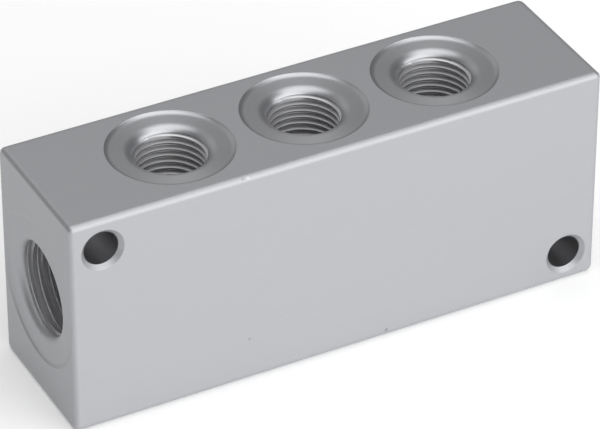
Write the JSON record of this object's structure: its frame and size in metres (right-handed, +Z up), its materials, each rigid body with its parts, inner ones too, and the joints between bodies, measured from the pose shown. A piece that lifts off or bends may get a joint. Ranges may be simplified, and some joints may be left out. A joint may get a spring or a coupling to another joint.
{
  "type": "distribution block",
  "caption": "Rectangular aluminium air distribution block: threaded inlets in both ends, a lengthwise gallery, a row of threaded outlets on top and diagonal through holes for mounting screws.",
  "frame": {"origin": "middle of the underside, halfway along the bar and halfway through its depth", "axes": "+X along the bar and its gallery, +Z up out of the outlets, -Y out of the front face that the mounting screws enter"},
  "size_m": [0.072, 0.02, 0.03],
  "materials": {
    "anodised_aluminium": "fine matt natural anodised aluminium, with turned spotfaces and cut threads"
  },
  "bodies": {
    "root": {"distribution_block": "anodised_aluminium"}
  },
  "joints": []
}
